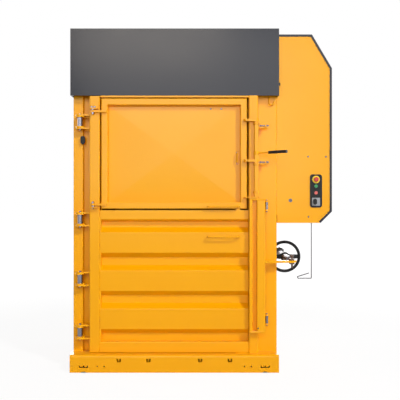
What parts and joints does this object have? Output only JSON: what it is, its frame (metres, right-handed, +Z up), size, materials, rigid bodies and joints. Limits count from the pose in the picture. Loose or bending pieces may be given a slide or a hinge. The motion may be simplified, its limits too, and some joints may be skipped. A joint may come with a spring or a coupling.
{
  "type": "recycling baler",
  "caption": "Upright recycling baler with a ribbed lower door, a loading hatch above it, a top hood, a side cabinet with controls, a handwheel door lock and an inner press plate.",
  "frame": {"origin": "centre of the base, on the floor", "axes": "+X to the right seen from the front, +Y to the back, +Z up"},
  "size_m": [2.149, 1.2213, 2.775],
  "materials": {
    "yellow_paint": "golden yellow powder coat",
    "dark_paint": "dark grey satin powder coat",
    "bright_zinc": "bright zinc plating",
    "black_plastic": "black moulded plastic",
    "hard_chrome": "hard chrome, ground",
    "oiled_steel": "oiled dark steel thread",
    "grey_zinc": "dull grey zinc plating",
    "grey_machine_paint": "grey machine enamel",
    "yellow_plastic": "yellow moulded plastic",
    "red_plastic": "red moulded plastic",
    "pale_red_plastic": "pale red moulded plastic",
    "green_plastic": "green moulded plastic",
    "grey_plastic": "grey moulded plastic"
  },
  "bodies": {
    "machine": {"base_frame": "yellow_paint", "chamber_floor": "yellow_paint", "left_side_wall": "yellow_paint", "right_side_wall": "yellow_paint", "back_wall": "yellow_paint", "left_column": "yellow_paint", "right_column": "yellow_paint", "rear_columns": "yellow_paint", "right_jamb": "yellow_paint", "front_rail": "yellow_paint", "crosshead": "yellow_paint", "hood": "dark_paint", "cylinder_barrel": "grey_machine_paint", "door_hinge_brackets": "yellow_paint", "hinge_barrels": "bright_zinc", "hinge_pins": "bright_zinc", "latch_bearings": "yellow_paint", "adjuster_brackets": "yellow_paint", "screws": "bright_zinc", "lock_bar_brackets": "yellow_paint", "spindle_bracket": "yellow_paint", "cabinet_wrap": "dark_paint", "cabinet_casing": "yellow_paint", "cabinet_front_panel": "yellow_paint", "control_plate": "black_plastic", "emergency_ring": "yellow_plastic", "selector_plate": "grey_plastic", "hydraulic_tank": "grey_machine_paint", "pump_motor": "grey_machine_paint", "valve_block": "grey_machine_paint", "switch_housing": "black_plastic", "hood_hook": "yellow_paint", "strap_needle": "grey_zinc"},
    "main_door": {"door_post": "yellow_paint", "lower_door": "yellow_paint", "door_pull_rod": "yellow_paint", "hatch_hinge_brackets": "yellow_paint", "hatch_hinge_pins": "bright_zinc"},
    "hatch": {"hatch_frame": "yellow_paint", "hatch_panel": "yellow_paint", "hatch_hinge_straps": "yellow_paint", "hatch_pull_rod": "yellow_paint", "hatch_grab_handle": "yellow_paint"},
    "latch": {"latch_shaft": "yellow_paint", "latch_lever": "yellow_paint", "latch_grip": "black_plastic"},
    "lock": {"lock_bar": "yellow_paint", "lock_barrels": "bright_zinc"},
    "spindle_slide": {"spindle": "oiled_steel"},
    "wheel": {"handwheel": "black_plastic", "nut_tube": "grey_zinc"},
    "press": {"platen": "yellow_paint", "piston_rod": "hard_chrome"},
    "outer_sleeve": {"cylinder_stage_1": "hard_chrome"},
    "inner_sleeve": {"cylinder_stage_2": "hard_chrome"},
    "emergency_head": {"emergency_button": "red_plastic"},
    "green_cap": {"green_button": "green_plastic"},
    "red_cap": {"red_button": "pale_red_plastic"},
    "selector": {"selector_knob": "black_plastic"},
    "panel_lock": {"cabinet_lock": "grey_zinc"}
  },
  "joints": [
    {"name": "door_swing", "type": "hinge", "parent": "machine", "child": "main_door", "pos_m": [-0.773, -0.428, 1], "axis": [0, 0, -1], "range_deg": [0, 110]},
    {"name": "hatch_swing", "type": "hinge", "parent": "main_door", "child": "hatch", "pos_m": [-0.66, -0.48, 1.75], "axis": [0, 0, -1], "range_deg": [0, 110]},
    {"name": "latch_turn", "type": "hinge", "parent": "machine", "child": "latch", "pos_m": [0.661, -0.477, 1.72], "axis": [0, 0, 1], "range_deg": [0, 55]},
    {"name": "lock_swing", "type": "hinge", "parent": "machine", "child": "lock", "pos_m": [0.748, -0.44, 0.85], "axis": [0, 0, 1], "range_deg": [0, 12.02]},
    {"name": "spindle_travel", "type": "slide", "parent": "machine", "child": "spindle_slide", "axis": [0, 1, 0], "range_m": [0, 0.0458]},
    {"name": "wheel_turn", "type": "hinge", "parent": "machine", "child": "wheel", "pos_m": [0.958, 0.034, 0.88], "axis": [0, -1, 0], "range_deg": [0, 1368]},
    {"name": "platen_travel", "type": "slide", "parent": "machine", "child": "press", "axis": [0, 0, -1], "range_m": [0, 1.2]},
    {"name": "outer_sleeve_travel", "type": "slide", "parent": "machine", "child": "outer_sleeve", "axis": [0, 0, -1], "range_m": [0, 0.4001]},
    {"name": "inner_sleeve_travel", "type": "slide", "parent": "machine", "child": "inner_sleeve", "axis": [0, 0, -1], "range_m": [0, 0.8001]},
    {"name": "emergency_press", "type": "slide", "parent": "machine", "child": "emergency_head", "axis": [0, 1, 0], "range_m": [0, 0.005], "stiffness_N_per_m": 1500},
    {"name": "green_press", "type": "slide", "parent": "machine", "child": "green_cap", "axis": [0, 1, 0], "range_m": [0, 0.0035], "stiffness_N_per_m": 1000},
    {"name": "red_press", "type": "slide", "parent": "machine", "child": "red_cap", "axis": [0, 1, 0], "range_m": [0, 0.0035], "stiffness_N_per_m": 1000},
    {"name": "selector_turn", "type": "hinge", "parent": "machine", "child": "selector", "pos_m": [1.158, -0.35, 1.368], "axis": [0, 1, 0], "range_deg": [0, 90]},
    {"name": "panel_lock_turn", "type": "hinge", "parent": "machine", "child": "panel_lock", "pos_m": [0.957, -0.338, 1.379], "axis": [0, 1, 0], "range_deg": [0, 90]}
  ],
  "couplings": [
    {"joint": "lock_swing", "follows": "wheel_turn", "ratio": 0.0087719},
    {"joint": "spindle_travel", "follows": "wheel_turn", "m_per_rad": 0.0019099},
    {"joint": "outer_sleeve_travel", "follows": "platen_travel", "ratio": 0.33333},
    {"joint": "inner_sleeve_travel", "follows": "platen_travel", "ratio": 0.66667}
  ]
}
